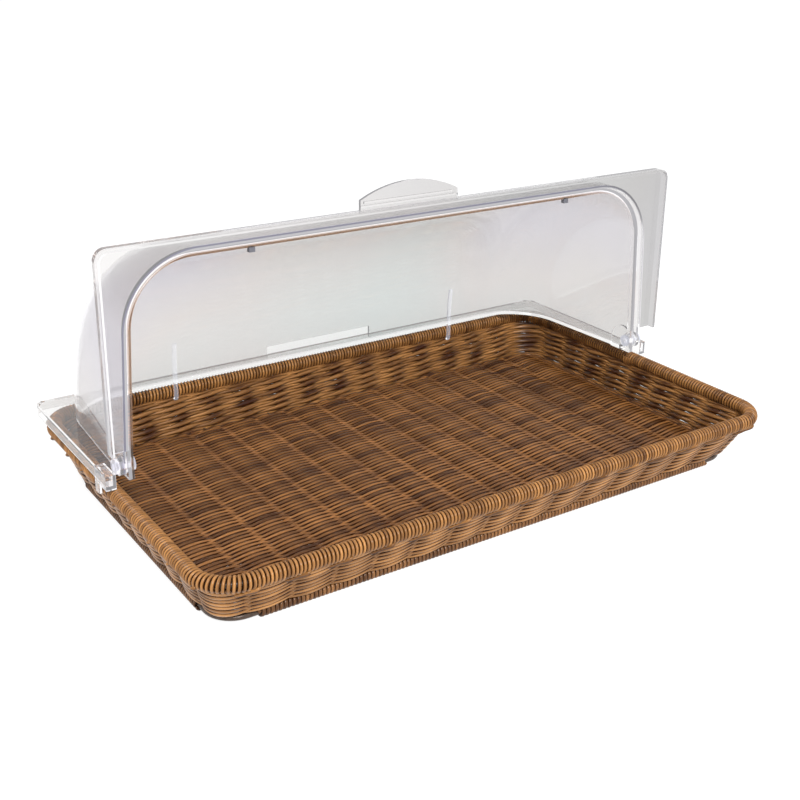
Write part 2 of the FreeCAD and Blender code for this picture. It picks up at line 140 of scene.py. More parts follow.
@dataclass(frozen=True)
class Outline:
    """Closed rounded rectangle at one height, walked anticlockwise from the middle of its front side."""

    half_x: float
    half_y: float
    bend: float
    height: float

    @property
    def runs(self) -> tuple[float, float]:
        """Half lengths of the straight parts, along X and along Y."""
        return self.half_x - self.bend, self.half_y - self.bend

    @property
    def arc(self) -> float:
        """Length of one rounded corner."""
        return math.pi / 2 * self.bend

    @property
    def total(self) -> float:
        """Length all the way round."""
        return 4 * (self.runs[0] + self.runs[1] + self.arc)

    def inset(self, depth: float) -> "Outline":
        """The outline that lies a depth further in, at the same height."""
        return Outline(self.half_x - depth, self.half_y - depth, self.bend - depth, self.height)

    def between(self, other: "Outline", share: float) -> "Outline":
        """The outline between this one and another.

        Args:
            other: the outline at a share of one.
            share: how far to go towards it.

        Returns:
            Outline with each size at that share of the way.
        """
        ends = zip(
            (self.half_x, self.half_y, self.bend, self.height),
            (other.half_x, other.half_y, other.bend, other.height),
        )
        return Outline(*[a + (b - a) * share for a, b in ends])

    def place(self, distance: np.ndarray) -> tuple[np.ndarray, np.ndarray]:
        """Points of the outline and its outward directions.

        Args:
            distance: lengths from the middle of the front side.

        Returns:
            Points and outward unit directions, each with one row per distance. On a straight part the
            point moves on from the part's start, and in a corner it turns about the corner's centre.
        """
        x, y = self.runs
        base = np.array([(0, -y), (x, -y), (x, -y), (x, y), (x, y), (-x, y), (-x, y), (-x, -y), (-x, -y)])
        step = np.array([(1, 0), (0, 0), (0, 1), (0, 0), (-1, 0), (0, 0), (0, -1), (0, 0), (1, 0)], float)
        turn = np.radians([-90, -90, 0, 0, 90, 90, 180, 180, 270])
        lengths = np.array([x, self.arc, 2 * y, self.arc, 2 * x, self.arc, 2 * y, self.arc, x])
        starts = np.concatenate([[0.0], np.cumsum(lengths)[:-1]])
        along = np.mod(distance, self.total)
        part = np.clip(np.searchsorted(starts, along, side="right") - 1, 0, len(starts) - 1)
        local = along - starts[part]
        angle = turn[part] + np.where(part % 2 == 1, local / self.bend, 0.0)
        outward = np.stack([np.cos(angle), np.sin(angle), np.zeros_like(angle)], axis=1)
        points = np.zeros_like(outward)
        points[:, :2] = base[part] + step[part] * local[:, None]
        points += outward * self.bend
        points[:, 2] = self.height
        return points, outward

    def stakes(self, long_count: int, short_count: int) -> np.ndarray:
        """Places of the wall's uprights: evenly along each straight part, and one in each corner.

        Args:
            long_count: uprights along a front or rear side.
            short_count: uprights along a left or right side.

        Returns:
            Distances along this outline, in order.
        """
        x, y = self.runs
        right = x + self.arc
        rear = right + 2 * y + self.arc
        left = rear + 2 * x + self.arc
        front = left + 2 * y + self.arc
        long_places = (2 * np.arange(long_count) + 1) / long_count * x
        short_places = (2 * np.arange(short_count) + 1) / short_count * y
        corners = np.array([right, rear, left, front]) - self.arc / 2
        places = [front + long_places, right + short_places, rear + long_places, left + short_places, corners]
        return np.sort(np.mod(np.concatenate(places), self.total))


@dataclass
class StrandMesh:
    """Collects strands as grids of points and turns them into one piece. No point lies below the floor."""

    section: int = 8
    floor: float = 0.0
    points: list[np.ndarray] = field(default_factory=list)
    faces: list[np.ndarray] = field(default_factory=list)
    maps: list[np.ndarray] = field(default_factory=list)
    tones: list[np.ndarray] = field(default_factory=list)
    count: int = 0

    def add(
        self,
        centre: np.ndarray,
        outward: np.ndarray,
        upward: np.ndarray,
        half_out: np.ndarray,
        half_up: np.ndarray,
        tone: np.ndarray,
        closed: bool,
    ) -> None:
        """Adds one strand with an oval section.

        Args:
            centre: points along the middle of the strand.
            outward: direction of the section's first half axis at each point.
            upward: direction of the second half axis. The strand's own direction crossed with it is outward.
            half_out: half thickness along outward.
            half_up: half thickness along upward.
            tone: value from 0 to 1 at each point, which the finish turns into light or dark.
            closed: true if the last point joins the first.

        The ring at each point is the centre plus outward times the cosine and upward times the sine of the
        angle round the section.
        """
        number, around = len(centre), self.section
        angle = 2 * math.pi * np.arange(around) / around
        rings = (
            centre[:, None, :]
            + outward[:, None, :] * (half_out[:, None] * np.cos(angle))[:, :, None]
            + upward[:, None, :] * (half_up[:, None] * np.sin(angle))[:, :, None]
        )
        rings[:, :, 2] = np.maximum(rings[:, :, 2], self.floor)
        rows = np.arange(number if closed else number - 1)
        columns = np.arange(around)
        i, j = (grid.ravel() for grid in np.meshgrid(rows, columns, indexing="ij"))
        i_next, j_next = (i + 1) % number, (j + 1) % around
        quads = np.stack(
            [i * around + j, i_next * around + j, i_next * around + j_next, i * around + j_next], axis=1
        )
        steps = np.linalg.norm(np.diff(centre, axis=0, append=centre[:1]), axis=1)
        run = np.concatenate([[0.0], np.cumsum(steps)])
        u = np.stack([run[i], run[i + 1], run[i + 1], run[i]], axis=1)
        v = np.stack([j, j, j + 1, j + 1], axis=1) / around
        self.points.append(rings.reshape(-1, 3))
        self.faces.append(quads + self.count)
        self.maps.append(np.stack([u, v], axis=2).reshape(-1, 2))
        self.tones.append(np.repeat(tone, around))
        self.count += number * around

    def piece(self, name: str, body: Body, material: bpy.types.Material, slot: Slot) -> bpy.types.Object:
        """Makes the mesh object, gives it its finish and lets it ride on a body.

        Args:
            name: name of the piece.
            body: body that carries it.
            material: its finish.
            slot: not used.

        Returns:
            The new object.
        """
        faces = np.concatenate(self.faces)
        mesh = bpy.data.meshes.new(name)
        mesh.vertices.add(self.count)
        mesh.vertices.foreach_set("co", np.concatenate(self.points).astype(np.float32).ravel())
        mesh.loops.add(faces.size)
        mesh.loops.foreach_set("vertex_index", faces.astype(np.int32).ravel())
        mesh.polygons.add(len(faces))
        mesh.polygons.foreach_set("loop_start", np.arange(0, faces.size, 4, dtype=np.int32))
        mesh.update(calc_edges=True)
        mesh.polygons.foreach_set("use_smooth", np.ones(len(faces), bool))
        layer = mesh.uv_layers.new(name="strand")
        layer.data.foreach_set("uv", np.concatenate(self.maps).astype(np.float32).ravel())
        tone = mesh.attributes.new("tone", "FLOAT", "POINT")
        tone.data.foreach_set("value", np.concatenate(self.tones).astype(np.float32))
        mesh.materials.append(material)
        piece = bpy.data.objects.new(name, mesh)
        bpy.context.scene.collection.objects.link(piece)
        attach(piece, body.value)
        LOG.info("%s: %d points, %d faces", name, self.count, len(faces))
        return piece


@dataclass
class Tree:
    """Short way to build a node tree."""

    tree: bpy.types.NodeTree

    def node(self, kind: str, values: dict | None = None, **settings: object) -> bpy.types.Node:
        """Adds a node, sets its properties and feeds its inputs.

        Args:
            kind: Blender's name for the type of node.
            values: what each input gets, by its name or number.
            settings: properties of the node itself.

        Returns:
            The new node.
        """
        made = self.tree.nodes.new(kind)
        for key, value in settings.items():
            setattr(made, key, value)
        self.feed(made, values or {})
        return made

    def feed(self, made: bpy.types.Node, values: dict) -> None:
        """Feeds inputs of a node.

        Args:
            made: the node.
            values: what each input gets, by its name or number: an output to link, or a plain value.
        """
        for key, value in values.items():
            if isinstance(value, bpy.types.NodeSocket):
                self.tree.links.new(value, made.inputs[key])
            else:
                made.inputs[key].default_value = value

    def calc(
        self, operation: str, first: object, second: object = 0.0, clamp: bool = False
    ) -> bpy.types.NodeSocket:
        """Result of one Math node, held between 0 and 1 where clamp is true."""
        made = self.node("ShaderNodeMath", {0: first, 1: second}, operation=operation, use_clamp=clamp)
        return made.outputs[0]

    def both(self, first: object, second: object) -> bpy.types.NodeSocket:
        """Product of two masks."""
        return self.calc("MULTIPLY", first, second)

    def remap(
        self, value: bpy.types.NodeSocket, start: float, end: float, low: object, high: object
    ) -> bpy.types.NodeSocket:
        """Value that goes from low to high while another goes from start to end, and is held beyond them."""
        return self.node("ShaderNodeMapRange", {"Value": value, 1: start, 2: end, 3: low, 4: high}).outputs[0]

    def blend(self, share: object, first: object, second: object, kind: str = "MIX") -> bpy.types.NodeSocket:
        """Blend of two colours, with that share of the second, by one of Blender's kinds of blending."""
        values = {0: share, 6: first, 7: second}
        return self.node("ShaderNodeMix", values, data_type="RGBA", blend_type=kind).outputs[2]

    def noise(
        self, vector: bpy.types.NodeSocket, scale: float, detail: float, roughness: float = 0.5
    ) -> bpy.types.NodeSocket:
        """Smooth noise from 0 to 1, with finer waves on it where detail is more than zero."""
        values = {"Vector": vector, "Scale": scale, "Detail": detail, "Roughness": roughness}
        return self.node("ShaderNodeTexNoise", values).outputs["Fac"]

    def stretched(self, vector: bpy.types.NodeSocket, scale: tuple) -> bpy.types.NodeSocket:
        """Coordinates times a scale on each axis."""
        return self.node("ShaderNodeMapping", {"Vector": vector, "Scale": scale}).outputs[0]

    def axes(self, vector: bpy.types.NodeSocket) -> tuple[bpy.types.NodeSocket, ...]:
        """X, Y and Z of a vector."""
        return tuple(self.node("ShaderNodeSeparateXYZ", {"Vector": vector}).outputs)

    def bump(self, strength: float, distance: float, height: bpy.types.NodeSocket) -> bpy.types.NodeSocket:
        """Normals of a surface with a small relief."""
        values = {"Strength": strength, "Distance": distance, "Height": height}
        return self.node("ShaderNodeBump", values).outputs["Normal"]


@dataclass(frozen=True)
class Effect:
    """Effect that several materials share: one node group, built once, with named inputs and outputs."""

    name: str
    inputs: dict[str, str]
    outputs: dict[str, str]
    fill: Callable[[Tree, bpy.types.Node], Sockets]

    def build(self) -> bpy.types.NodeTree:
        """Builds the group: its sockets, then the nodes that feed its outputs.

        Returns:
            The new group.
        """
        group = bpy.data.node_groups.new(self.name, "ShaderNodeTree")
        for in_out, sockets in (("INPUT", self.inputs), ("OUTPUT", self.outputs)):
            for name, kind in sockets.items():
                group.interface.new_socket(name, in_out=in_out, socket_type="NodeSocket" + kind)
        tree = Tree(group)
        tree.node("NodeGroupOutput", self.fill(tree, tree.node("NodeGroupInput")))
        return group

    def place(self, tree: Tree, values: dict) -> Sockets:
        """Puts the effect into a material, feeds its inputs and gives its outputs by name."""
        group = bpy.data.node_groups.get(self.name) or self.build()
        return dict(tree.node("ShaderNodeGroup", values, node_tree=group).outputs.items())


def strand_streaks_and_groove_shade(tree: Tree, given: bpy.types.Node) -> Sockets:
    """Nodes of a strand's streaks and of the painted shade in its grooves.

    The shade is the strand's own tone plus slow patches plus fine lines along it. It goes down to dark on the
    flanks of the section, where the cosine of the angle round it is small: this is painted shade in the
    grooves where strands touch.

    Args:
        tree: tree of the group.
        given: node with the group's inputs, Dark and Light.

    Returns:
        The Color between dark and light, and the Height of the fine lines.
    """
    uv = tree.node("ShaderNodeUVMap", uv_map="strand").outputs["UV"]
    tone = tree.node("ShaderNodeAttribute", attribute_name="tone").outputs["Fac"]
    patch_scale, line_scale = (45.0, 5.0, 1.0), (120.0, 26.0, 1.0)
    patch_strength, line_strength = 0.22, 0.10
    low, high = 0.3, 0.7
    dark_flank, light_face = 0.25, 0.92
    patches = tree.noise(tree.stretched(uv, patch_scale), scale=1.0, detail=3.0, roughness=0.6)
    grain = tree.noise(tree.stretched(uv, line_scale), scale=1.0, detail=2.0)
    patched = tree.calc("ADD", tone, tree.remap(patches, low, high, -patch_strength, patch_strength))
    lines = tree.remap(grain, low, high, -line_strength, line_strength)
    lined = tree.calc("ADD", patched, lines, clamp=True)
    # painted shade: the flanks of each strand, where it meets its neighbours, go dark
    swing = tree.calc("COSINE", tree.calc("MULTIPLY", tree.axes(uv)[1], 2 * math.pi))
    painted_groove_shade = tree.remap(tree.calc("ABSOLUTE", swing), dark_flank, light_face, 0.0, 1.0)
    colour = tree.blend(tree.both(lined, painted_groove_shade), given.outputs["Dark"], given.outputs["Light"])
    return {"Color": colour, "Height": grain}


def faint_tints(tree: Tree, given: bpy.types.Node) -> Sockets:
    """Nodes of clear plastic: a slow change between faint tints, times a grey, and a small ripple.

    Args:
        tree: tree of the group.
        given: node with the group's inputs, Grey and the Share of it that comes in.

    Returns:
        The Tint, and the Height of the ripple.
    """
    place = tree.node("ShaderNodeTexCoord").outputs["Object"]
    clouds = tree.noise(place, scale=4.0, detail=1.0, roughness=0.4)
    ripple = tree.noise(place, scale=9.0, detail=0.0, roughness=0.4)
    ramp = tree.node("ShaderNodeValToRGB", {"Fac": clouds})
    lilac, pink, green = (0.775, 0.765, 0.79, 1.0), (0.79, 0.775, 0.765, 1.0), (0.765, 0.785, 0.775, 1.0)
    stops = ramp.color_ramp.elements
    stops.new(0.5)
    for number, (position, colour) in enumerate(((0.30, lilac), (0.5, pink), (0.72, green))):
        stops[number].position = position
        stops[number].color = colour
    tint = tree.blend(given.outputs["Share"], ramp.outputs["Color"], given.outputs["Grey"], "MULTIPLY")
    return {"Tint": tint, "Height": ripple}


@dataclass(frozen=True)
class FrontEdgePaintedLight:
    """Painted light along the front edges of the open cover, with sizes in metres: a lilac painted highlight,
    an amber painted reflection of the rattan, and a pale painted glow in the zone between them.

    The depth inwards from the fixed cover's U outline is that of a rounded box whose sides lean in. The
    lilac painted highlight is the outer corner of the roll-top's shell, and the amber painted reflection is
    the inner corner of the fixed cover's bead. What lies between them glows pale, as do the sides of the
    raised
    plate and the blocks at the ends: all painted light. Both coloured lines fade towards the right.
    """

    hinge_height: float = 75.66 * MM
    radius: float = 174 * MM
    half_width: float = 283 * MM
    bend: float = 60 * MM
    upright: float = 12 * MM
    lean: float = 8.5 / 162
    lilac: tuple[float, float] = (-4.6 * MM, -3.1 * MM)
    pale: tuple[float, float] = (-3.1 * MM, 3.1 * MM)
    amber: tuple[float, float] = (3.1 * MM, 4.8 * MM)
    faded_amber_reflection: tuple[float, float] = (3.1 * MM, 5.2 * MM)
    fade: tuple[float, float] = (190 * MM, 270 * MM)
    faded: float = 0.15
    front_facing: float = -0.7
    side_facing: float = 0.3
    # painted light: how strongly the lilac line, the plate's sides and the end blocks glow
    lilac_glow: float = 0.3
    plate_glow: float = 0.16
    block_glow: float = 0.2
    block_inner_x: float = 292 * MM
    block_rear: float = 21 * MM
    block_top: float = 74 * MM

    def depth(
        self, tree: Tree, sideways: bpy.types.NodeSocket, z: bpy.types.NodeSocket
    ) -> bpy.types.NodeSocket:
        """Depth inwards from the U outline: the bend less the distance from the rounded box inside it.

        Args:
            tree: tree of the group.
            sideways: distance from the middle along X.
            z: height above the counter.

        Returns:
            The depth in metres, below zero outside the outline.
        """
        calc = tree.calc
        height = calc("SUBTRACT", z, self.hinge_height)
        lean = calc("MULTIPLY", calc("MAXIMUM", calc("SUBTRACT", height, self.upright)), self.lean)
        across = calc("SUBTRACT", calc("ADD", sideways, lean), self.half_width - self.bend)
        over = calc("SUBTRACT", height, self.radius - self.bend)
        squares = [calc("POWER", calc("MAXIMUM", way), 2.0) for way in (across, over)]
        outside = calc("SQRT", calc("ADD", *squares))
        inside = calc("MINIMUM", calc("MAXIMUM", across, over), 0.0)
        return calc("SUBTRACT", self.bend, calc("ADD", outside, inside))

    def fill(self, tree: Tree, given: bpy.types.Node) -> Sockets:
        """Nodes of the masks of the painted light.

        Args:
            tree: tree of the group.
            given: node with the group's input, the Inner glow as a share of the edges' glow.

        Returns:
            The masks of the lilac painted highlight and of the amber painted reflection, and the Glow of the
            painted light as a share of the edges' glow.
        """
        calc, both = tree.calc, tree.both
        place = tree.node("ShaderNodeTexCoord").outputs
        x, y, z = tree.axes(place["Object"])
        facing = tree.axes(place["Normal"])[1]
        sideways = calc("ABSOLUTE", x)
        depth = self.depth(tree, sideways, z)
        front = both(calc("LESS_THAN", facing, self.front_facing), calc("LESS_THAN", y, 0.0))
        strength = tree.remap(x, *self.fade, 1.0, self.faded)
        coloured = both(front, strength)

        def band(limits: tuple[float, float], where: bpy.types.NodeSocket) -> bpy.types.NodeSocket:
            """Mask of the depths between two limits."""
            within = both(calc("GREATER_THAN", depth, limits[0]), calc("LESS_THAN", depth, limits[1]))
            return both(within, where)

        # painted highlight: the lilac line; painted reflection of the rattan: the amber line
        lilac = band(self.lilac, coloured)
        amber = band(self.amber, coloured)
        faded = both(band(self.faded_amber_reflection, front), calc("SUBTRACT", 1.0, strength))
        sides = calc("LESS_THAN", calc("ABSOLUTE", facing), self.side_facing)
        plate = both(sides, calc("LESS_THAN", y, PLATE_REAR))
        end = both(calc("GREATER_THAN", sideways, self.block_inner_x), calc("LESS_THAN", y, self.block_rear))
        block = both(end, calc("LESS_THAN", z, self.block_top))
        # painted light: the pale band between the lines, the sides of the raised plate and the end blocks
        # glow
        glow = calc("MAXIMUM", band(self.pale, front), faded)
        for mask, share in ((plate, self.plate_glow), (block, self.block_glow), (lilac, self.lilac_glow)):
            glow = calc("MAXIMUM", glow, both(mask, share))
        glow = tree.remap(glow, 0.0, 1.0, given.outputs["Inner"], 1.0)
        return {"Lilac": lilac, "Amber": amber, "Glow": glow}


STREAKS_AND_GROOVE_SHADE = Effect(
    "strand_streaks_and_groove_shade",
    {"Dark": "Color", "Light": "Color"},
    {"Color": "Color", "Height": "Float"},
    strand_streaks_and_groove_shade,
)
TINTS = Effect(
    "faint_tints",
    {"Share": "Float", "Grey": "Float"},
    {"Tint": "Color", "Height": "Float"},
    faint_tints,
)
EDGE_PAINTED_LIGHT = Effect(
    "front_edge_painted_light",
    {"Inner": "Float"},
    {"Lilac": "Float", "Amber": "Float", "Glow": "Float"},
    FrontEdgePaintedLight().fill,
)


def new_material(name: str) -> tuple[bpy.types.Material, Tree, bpy.types.Node]:
    """Makes a material with a bare Principled shader.

    Args:
        name: name of the material.

    Returns:
        The material, its tree and the shader.
    """
    material = bpy.data.materials.new(name)
    material.use_nodes = True
    material.node_tree.nodes.clear()
    tree = Tree(material.node_tree)
    shader = tree.node("ShaderNodeBsdfPrincipled")
    tree.node("ShaderNodeOutputMaterial", {"Surface": shader.outputs["BSDF"]})
    return material, tree, shader


@dataclass(frozen=True)
class RattanFinish:
    """Glossy woven strand, from a dark to a light brown."""

    name: str
    dark: Colour
    light: Colour
    roughness: float = 0.36
    coat: float = 0.2
    coat_roughness: float = 0.25
    specular: float = 0.15
    bump: float = 0.25
    bump_height: float = 0.4 * MM

    def material(self) -> bpy.types.Material:
        """Builds the material from the strand's tone and streaks, with painted shade in the grooves between
        strands.

        Returns:
            The material.
        """
        material, tree, shader = new_material(self.name)
        # the streaks' Color carries painted shade in the grooves between strands
        streaks = STREAKS_AND_GROOVE_SHADE.place(tree, {"Dark": (*self.dark, 1.0), "Light": (*self.light, 1.0)})
        tree.feed(shader, {
            "Base Color": streaks["Color"],
            "Normal": tree.bump(self.bump, self.bump_height, streaks["Height"]),
            "Roughness": self.roughness,
            "Coat Weight": self.coat,
            "Coat Roughness": self.coat_roughness,
            "Specular IOR Level": self.specular,
        })
        return material


@dataclass(frozen=True)
class ClearFinish:
    """Clear moulded plastic with a faint painted glow, and brighter painted light on the edges where
    edge_glow is given.

    Points whose Y is below plate_rear take the plate's grey in full, and the others a small share of it. The
    grey goes from left_grey at the left end of the cover to plate_grey at its right end.
    """

    name: str
    inner_glow: float
    edge_glow: float = 0.0
    plate_grey: float = 1.0
    plate_rear: float = 0.0
    left_grey: float = 0.96
    grey_reach: float = 270 * MM
    shell_share: float = 0.2
    roughness: float = 0.0
    index: float = 1.33
    ripple: float = 0.012
    ripple_height: float = 0.5 * MM
    # painted light colours: the glow over the whole part, pale between the front lines and lilac on the
    # shell's corner; the amber colour is the painted reflection of the rattan, put into the base colour
    glow: Colour = (0.78, 0.80, 0.92)
    pale: Colour = (0.86, 0.85, 0.89)
    lilac: Colour = (0.50, 0.50, 0.88)
    amber: Colour = (0.34, 0.17, 0.08)

    def material(self) -> bpy.types.Material:
        """Builds the material. An edge's painted glow colour is pale or lilac times its share of the edges'
        glow.

        Returns:
            The material.
        """
        material, tree, shader = new_material(self.name)
        x, y, _ = tree.axes(tree.node("ShaderNodeTexCoord").outputs["Object"])
        share = tree.calc("MAXIMUM", tree.calc("LESS_THAN", y, self.plate_rear), self.shell_share)
        grey = tree.remap(x, -self.grey_reach, self.grey_reach, self.left_grey, self.plate_grey)
        tints = TINTS.place(tree, {"Share": share, "Grey": grey})
        # painted light: a faint glow over the whole part; with edge_glow, painted light along the front edges
        # too
        base, glow, strength = tints["Tint"], (*self.glow, 1.0), self.inner_glow
        if self.edge_glow:
            edges = EDGE_PAINTED_LIGHT.place(tree, {"Inner": self.inner_glow / self.edge_glow})
            # painted reflection: the amber line takes the rattan's brown into the base colour
            base = tree.blend(edges["Amber"], base, (*self.amber, 1.0))
            # painted highlight and painted light: the lilac line and the pale glow between the lines
            tone = tree.blend(edges["Lilac"], (*self.pale, 1.0), (*self.lilac, 1.0))
            glow = tree.blend(1.0, tone, edges["Glow"], "MULTIPLY")
            strength = self.edge_glow
        tree.feed(shader, {
            "Base Color": base,
            "Normal": tree.bump(self.ripple, self.ripple_height, tints["Height"]),
            "Roughness": self.roughness,
            "IOR": self.index,
            "Transmission Weight": 1.0,
            "Emission Color": glow,
            "Emission Strength": strength,
        })
        return material


@dataclass(frozen=True)
class PlainFinish:
    """Solid finish with a fine speckle, for coated wire, rubber and the floor."""

    name: str
    base: Colour
    speck: Colour
    scale: float
    roughness: float
    metallic: float = 0.0
    glow: float = 0.0

    def material(self) -> bpy.types.Material:
        """Builds the material from a noise on object coordinates.

        Returns:
            The material.
        """
        material, tree, shader = new_material(self.name)
        place = tree.node("ShaderNodeTexCoord").outputs["Object"]
        low, high = 0.4, 0.7
        specks = tree.remap(tree.noise(place, self.scale, detail=3.0), low, high, 0.0, 1.0)
        tree.feed(shader, {
            "Base Color": tree.blend(specks, (*self.base, 1.0), (*self.speck, 1.0)),
            "Roughness": self.roughness,
            "Metallic": self.metallic,
            "Emission Strength": self.glow,
        })
        return material


@dataclass(frozen=True)
class TwinedRow:
    """Sizes of one twined pair of strands, in metres, and its tones.

    Thick_up and flat_out are the half sizes of the section at a stake, thin_up and wide_out those between
    two stakes.
    """

    seed: int
    leaning: bool = True
    samples: int = 12
    reach: float = 2.65 * MM
    lift: float = 1.15 * MM
    thick_up: float = 2.42 * MM
    thin_up: float = 1.45 * MM
    flat_out: float = 1.35 * MM
    wide_out: float = 1.7 * MM
    jitter: float = 0.26 * MM
    tone: float = 0.45
    tone_jitter: float = 0.22
    # painted light and shade: a strand is lighter where it bulges outside a stake and darker where it passes
    # inside, so the wall's outer face reads lighter and its inner face darker
    painted_outer_light_inner_shade: float = 0.27


@dataclass(frozen=True)
class Winding:
    """Sizes of a strand wound closely round a wire, in metres, and its tones.

    Tone_jitter is how far the tone goes from turn to turn, and slow_jitter how far it goes over a longer
    stretch, of which there are slow_knots.
    """

    seed: int
    half_out: float
    half_along: float
    pitch: float
    tone: float
    tone_jitter: float
    slow_jitter: float
    slow_knots: int
    width_jitter: float = 0.03
    samples: int = 16

    def tones(self, rng: np.random.Generator, turns: int, place: np.ndarray, span: float) -> np.ndarray:
        """Tone at each place along the wire.

        Args:
            rng: seeded source of the values.
            turns: number of turns along the span.
            place: places along the wire.
            span: length after which the places start again.

        Returns:
            The mean tone plus the quick and the slow changes.
        """
        tone = self.tone + self.tone_jitter * smooth_random(rng, turns, place, span)
        tone += self.slow_jitter * smooth_random(rng, self.slow_knots, place, span)
        return tone


@dataclass(frozen=True)
class Lashing:
    """Sizes of the strands that lock the end of the rim winding, in metres and degrees.

    Slant is how far each end goes sideways, as a share of the width that one strand has. Tone_step is the
    change of tone from each strand to the next.
    """

    strands: int = 3
    half_out: float = 0.65 * MM
    half_along: float = 1.6 * MM
    start: float = 150.0
    end: float = 390.0
    slant: float = 0.1
    tone: float = 0.62
    tone_step: float = 0.12
    samples: int = 33


@dataclass(frozen=True)
class RimLoops:
    """Sizes of the slanted loops under the rim.

    Each stop is a distance along the rim, outwards and upwards from its middle line, in millimetres. Below
    lean_start the stops begin to follow the slope of the wall, and from lean_full on they follow it fully.
    A loop whose outward direction has more of X than end_facing takes the slope of a short side.
    """

    stops: tuple[tuple[float, float, float], ...] = (
        (9.0, 3.6, -3.6), (6.0, 5.4, -5.4), (1.0, 3.6, -8.6), (-5.0, 3.1, -11.6), (-8.0, 0.0, -13.4),
    )
    seed: int = 11
    lean_start: float = -5 * MM
    lean_full: float = -10 * MM
    radius: float = 1.7 * MM
    jitter: float = 1.0 * MM
    end_facing: float = 0.7
    samples: int = 5
    tone: float = 0.45
    tone_jitter: float = 0.2


@dataclass(frozen=True)
class FloorWeave:
    """Sizes of the woven floor, in metres, and its tones.

    Half is the half thickness of a strand between two stakes. At a stake it is flatter and wider.
    """

    seed: int = 21
    inset: float = 3.3 * MM
    margin: float = 3 * MM
    pitch: float = 5.4 * MM
    reach: float = 2.1 * MM
    sway: float = 1.3 * MM
    jitter: float = 0.2 * MM
    half: float = 1.5 * MM
    flatter: float = 0.6 * MM
    wider: float = 1.15 * MM
    sway_knots: int = 16
    tone: float = 0.5
    tone_jitter: float = 0.25
    slow_jitter: float = 0.2
    slow_knots: int = 12
    samples: int = 7
    stakes: int = 8
    stake_samples: int = 30
    stake_tone: float = 0.4
    stake_half_up: float = 1.3 * MM
    stake_half_across: float = 2.2 * MM
    border_inset: float = 2 * MM
    border_cell: float = 18 * MM
    border_half: float = 1.6 * MM


